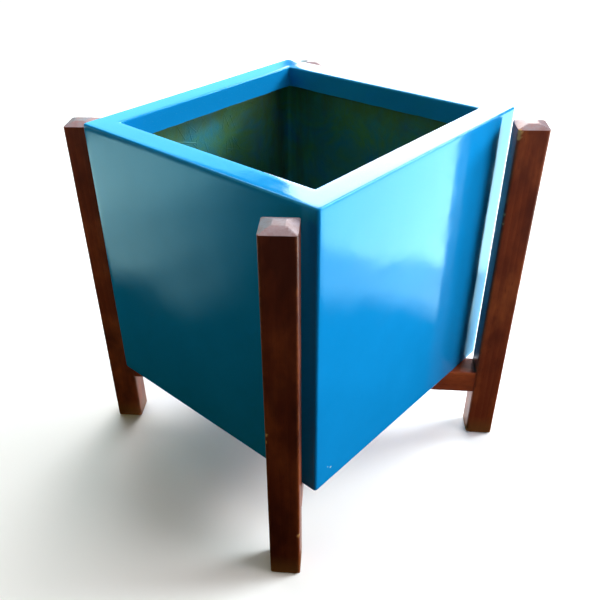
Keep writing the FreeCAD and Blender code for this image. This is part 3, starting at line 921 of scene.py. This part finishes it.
def bare_laminate():
    """Glass mat in aged resin: blue-green and olive blotches, yellower under the lip, brown runs
    in the corners, and paler strands lying every way."""
    material, tree, shader, place = new_material("bare_laminate")
    blotch = grain(tree, place, 12, 5, 0.62, 0.5)
    colour = ramp(tree, blotch, [
        (0.28, (0.02, 0.165, 0.4)),
        (0.42, (0.04, 0.225, 0.26)),
        (0.56, (0.085, 0.25, 0.09)),
        (0.7, (0.045, 0.235, 0.33)),
    ])
    x, y, z = split(tree, place)
    ragged = calc(tree, "ADD", z, between(tree, grain(tree, place, 30, 4, 0.6), -0.03, 0.03, 0.25, 0.75))
    under_lip = between(tree, ragged, 0, 0.75, lip_bottom - 55 * MM, lip_bottom - 8 * MM)
    colour = mixed(tree, under_lip, colour, (0.085, 0.155, 0.035))
    deep = between(tree, ragged, 0.55, 0, base + 0.1, base + 0.3)
    colour = mixed(tree, deep, colour, (0.12, 0.26, 0.3))
    into_corner = calc(tree, "MINIMUM", calc(tree, "ABSOLUTE", x), calc(tree, "ABSOLUTE", y))
    run = grain(tree, place, 60, 4, 0.65, along=0.12)
    runs = calc(
        tree, "MULTIPLY", between(tree, into_corner, 0, 1, inner_half - 110 * MM, inner_half - 10 * MM),
        between(tree, run, 0, 0.7, 0.42, 0.68),
    )
    colour = mixed(tree, runs, colour, (0.09, 0.06, 0.045))
    for turn in (0.5, 1.6, 2.6):
        strand = mapped(tree, place, (1, 1, 0.06), (turn, turn * 0.7, turn * 1.3))
        strand = grain(tree, strand, 420, 2)
        colour = mixed(tree, between(tree, strand, 0, 0.4, 0.6, 0.72), colour, (0.06, 0.21, 0.17))
    # A painted shadow: a dark band just under the lip's trimmed edge.
    line = calc(tree, "MULTIPLY", between(tree, z, 0, 1, lip_bottom - 3 * MM, lip_bottom), 0.8)
    colour = mixed(tree, line, colour, (0.05, 0.03, 0.012))
    dull = between(tree, grain(tree, place, 18, 3), 0.34, 0.6, 0.3, 0.7)
    finished(tree, shader, colour, dull, grain(tree, place, 300, 4, 0.7), 0.3, 0.0015)
    shader.inputs["IOR"].default_value = 1.45
    shader.inputs["Specular Tint"].default_value = (0.45, 0.9, 1.0, 1)
    return material


rings = planter_rings()
planter = new_piece("planter_moulding", lofted(
    "planter_moulding",
    [rounded_square(half, radius, up) for half, radius, up, slot in rings],
    [slot for half, radius, up, slot in rings],
))
chips = [  # place and radius
    ((half_side, -0.17, 0.148), 1.6 * MM),
    ((half_side, -0.176, 0.153), 0.9 * MM),
    ((-0.055, -half_side, base + 1 * MM), 1.5 * MM),
    ((0.125, -half_side, base + 1 * MM), 1.2 * MM),
]
raw_laminate = bare_laminate()
planter.data.materials.append(gel_coat(chips))
planter.data.materials.append(raw_laminate)
drill = bmesh.new()
bmesh.ops.create_cone(
    drill, cap_ends=True, segments=48, radius1=drain_radius, radius2=drain_radius, depth=40 * MM,
    matrix=Matrix.Translation(drain_spot),
)
cut_out(planter, mesh_of(drill, "drill"))
wave(planter, planter_wave, lip_bottom, 1.1 * MM)
mark_laid_faces(planter)
apply_tree(
    planter, strand_tree(),
    density=2900.0, length=24 * MM, thickness=0.95 * MM, flatness=0.42, proud=0.12 * MM, bend=6 * MM, seed=4,
    finish=raw_laminate,
)
shade(planter, 42)
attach(planter, "planter")
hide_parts("planter_shell")

# -----
# Drain plug. Black rubber, moulded in one piece: a stem through the floor with two sealing
# grooves, a flange that lies on the laminate, and a knob to pull it by.
plug_profile = [  # (radius, height) in mm
    (0, 0), (5.2, 0), (7.2, 0.05), (7.6, 0.2), (8.94, 1.5), (8.94, 3.1), (8.6, 3.4), (8.6, 3.8),
    (8.94, 4.1), (8.94, 5.1), (8.6, 5.4), (8.6, 5.8), (8.94, 6.1), (8.94, 8), (13.6, 8), (13.95, 8.2),
    (14, 8.6), (14, 9.5), (13.8, 10), (13, 10.48), (12.6, 10.5), (4.6, 10.5), (3.9, 10.75), (3.5, 11.4),
    (3.5, 12.6), (3.9, 13.25), (4.6, 13.5), (5.5, 13.52), (5.9, 13.75), (6, 14.3), (6, 16.4), (5.8, 17),
    (5.3, 17.4), (4.6, 17.5), (2.6, 17.35), (0, 17.25),
]


def black_rubber():
    """Black rubber, dull, with a dusty bloom and the fine grain of its mould."""
    material, tree, shader, place = new_material("black_rubber")
    mottle = grain(tree, place, 120, 4, 0.6)
    colour = ramp(tree, mottle, [(0.35, (0.012, 0.012, 0.013)), (0.75, (0.035, 0.034, 0.032))])
    dust = between(tree, grain(tree, place, 420, 4, 0.7), 0, 0.5, 0.55, 0.75)
    colour = mixed(tree, dust, colour, (0.13, 0.12, 0.1))
    dull = between(tree, dust, 0.5, 0.8, 0, 0.5)
    finished(tree, shader, colour, dull, grain(tree, place, 1600, 2), 0.25, 0.0003)
    return material


rubber = turned(in_mm(plug_profile), 64)
rubber.transform(Matrix.Translation((drain_spot.x, drain_spot.y, plug_low.z)))
plug = new_piece("rubber_drain_plug", mesh_of(rubber, "rubber_drain_plug"))
plug.data.materials.append(black_rubber())
shade(plug, 40)
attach(plug, "plug")
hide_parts("drain_plug")

# -----
# Floor. A wide, plain, pale floor that lightens into a white cove well away from the object.
floor_half = 40.0
floor_mesh = bpy.data.meshes.new("floor")
floor_mesh.from_pydata(
    [(x * floor_half, y * floor_half, 0) for x, y in ((-1, -1), (1, -1), (1, 1), (-1, 1))], [], [(0, 1, 2, 3)]
)
floor = new_piece("floor", floor_mesh)
paint, tree, shader, place = new_material("pale_floor")
shader.inputs["Base Color"].default_value = (0.92, 0.92, 0.92, 1)
shader.inputs["Roughness"].default_value = 0.7
away = add_node(tree, "ShaderNodeVectorMath", {0: place}, operation="LENGTH").outputs["Value"]
shader.inputs["Emission Color"].default_value = (1, 1, 1, 1)
tree.links.new(between(tree, away, 0.0, 0.42, 1.9, 4.5), shader.inputs["Emission Strength"])
floor.data.materials.append(paint)

# -----
# Light. A soft key from the back right, large softboxes behind and overhead that the rim and the
# tops of the legs mirror, warm fills, and cards on the floor for the glossy sides to mirror.
object_middle = (0, 0, 0.3)
key = new_piece("key", bpy.data.lights.new("key", "SUN"))
key.data.energy = 3.9
key.data.angle = math.radians(24)
key.data.color = (0.92, 0.98, 1.0)
key.rotation_euler = Vector((0.72, 1.15, 0.8)).to_track_quat("Z", "Y").to_euler()


def softbox(name, place, aim, width, height, radiance, colour=(1, 1, 1)):
    light = new_piece(name, bpy.data.lights.new(name, "AREA"))
    light.data.shape = "RECTANGLE"
    light.data.size, light.data.size_y = width, height
    light.data.energy = radiance * math.pi * width * height
    light.data.color = colour
    light.location = place
    light.rotation_euler = (Vector(place) - Vector(aim)).to_track_quat("Z", "Y").to_euler()
    light.visible_camera = False


softbox("back", (-1.42, 2.75, 1.5), (0, 0, 0.5), 1.6, 1.9, 8.5)
softbox("back_left", (-2.75, 1.75, 1.3), (0, 0, 0.5), 1.7, 1.3, 2.6, (0.32, 0.9, 1.0))
softbox("overhead", (-0.75, 0.8, 2.6), (-0.1, 0.1, 0.5), 2.4, 2.0, 5.0)
softbox("left_fill", (-1.6, -2.8, 1.5), object_middle, 1.5, 1.5, 1.9, (1.0, 0.86, 0.14))
softbox("right_fill", (1.6, 0.55, 0.95), (0.2, 0.1, 0.3), 1.0, 0.6, 11.0, (1.0, 0.92, 0.92))


def soft_step(value, softness):
    """From 0 to 1 as a distance goes from minus to plus a softness."""
    share = min(1.0, max(0.0, 0.5 + 0.5 * value / softness))
    return share * share * (3 - 2 * share)


def glow_card(name, x_range, y_range, colour, glow_at, cells=80):
    """A card lying just over the floor for a glossy side to mirror: black, with a soft-edged glow.
    The camera doesn't see it, it throws no shadow, and from below it is clear."""
    made = bmesh.new()
    layer = made.verts.layers.float.new("glow")
    rows = []
    for i in range(cells + 1):
        row = []
        for j in range(cells + 1):
            x = x_range[0] + (x_range[1] - x_range[0]) * i / cells
            y = y_range[0] + (y_range[1] - y_range[0]) * j / cells
            vertex = made.verts.new((x, y, 0.001))
            wander = 0.07 * noise.noise(vertex.co * 5) + 0.03 * noise.noise(vertex.co * 14)
            vertex[layer] = glow_at(x, y, wander)
            row.append(vertex)
        rows.append(row)
    for i in range(cells):
        for j in range(cells):
            made.faces.new((rows[i][j], rows[i + 1][j], rows[i + 1][j + 1], rows[i][j + 1]))
    card = new_piece(name, mesh_of(made, name))
    card.visible_camera = False
    card.visible_shadow = False
    material, tree = empty_material(name)
    glow = add_node(tree, "ShaderNodeAttribute", attribute_name="glow").outputs["Fac"]
    lit = add_node(tree, "ShaderNodeEmission", {"Color": (*colour, 1), "Strength": glow})
    clear = add_node(tree, "ShaderNodeBsdfTransparent")
    from_below = add_node(tree, "ShaderNodeNewGeometry").outputs["Backfacing"]
    either = add_node(tree, "ShaderNodeMixShader", {0: from_below, 1: lit.outputs[0], 2: clear.outputs[0]})
    add_node(tree, "ShaderNodeOutputMaterial", {"Surface": either.outputs[0]})
    card.data.materials.append(material)


def left_glow(x, y, wander):
    """Bright far off to the left, black close by and to the right. Each soft step is a slanting
    edge across the floor: how far a spot lies past it, and how wide the edge fades."""
    beyond = soft_step(-y - 0.55 - 0.17 * (x + 0.43) + wander, 0.08)
    leftwards = soft_step(-0.821 * (x + 0.43) + 0.571 * (y + 0.51) + wander, 0.22)
    ends = soft_step(x + 1.5, 0.1) * soft_step(y + 1.15, 0.1)
    return beyond * leftwards * ends * (1.75 + 1.3 * soft_step(-x - 0.9 + wander, 0.2))


def right_glow(x, y, wander):
    """Bright far off to the right and beside the back right leg, dimmer nearer, black close by."""
    dim = soft_step(y - 0.319 - 0.6 * (0.594 - x) + wander, 0.06)
    bright = soft_step(y - 0.483 - 0.45 * (0.743 - x) + wander, 0.045)
    beside_leg = soft_step(y - 0.17 - 2.18 * (x - 0.2), 0.02)
    return max(2.5 * dim, 7.0 * bright, 3.2 * beside_leg)


glow_card("left_card", (-1.9, 2.3), (-2.5, -0.205), (0.72, 1.0, 0.9), left_glow, cells=130)
glow_card("right_card", (0.215, 1.6), (-0.9, 2.2), (0.62, 0.95, 1.0), right_glow)

# The surroundings look white to the camera, but give only a little light.
world = bpy.data.worlds.new("studio")
world.use_nodes = True
tree = world.node_tree
background = tree.nodes["Background"]
background.inputs["Color"].default_value = (1.0, 1.0, 1.0, 1)
seen = add_node(tree, "ShaderNodeLightPath").outputs["Is Camera Ray"]
tree.links.new(between(tree, seen, 0.08, 1.0), background.inputs["Strength"])
bpy.context.scene.world = world
bpy.context.scene.view_settings.view_transform = "Standard"

# -----
# Camera. A short lens held above the front right corner, looking down into the planter, with
# the slight tilt of a picture taken by hand.
camera_spot = (0.5967, -0.6809, 0.8241)
azimuth, elevation, roll = math.radians(44.504), math.radians(34.322), math.radians(-2.067)
towards_camera = Vector((
    math.sin(azimuth) * math.cos(elevation),
    -math.cos(azimuth) * math.cos(elevation),
    math.sin(elevation),
))
level = towards_camera.to_track_quat("Z", "Y").to_matrix().to_4x4()
camera = new_piece("camera", bpy.data.cameras.new("camera"))
camera.matrix_world = Matrix.Translation(camera_spot) @ level @ Matrix.Rotation(roll, 4, "Z")
camera.data.lens = 42.19
camera.data.shift_x, camera.data.shift_y = 0.055, 0.03
bpy.context.scene.camera = camera
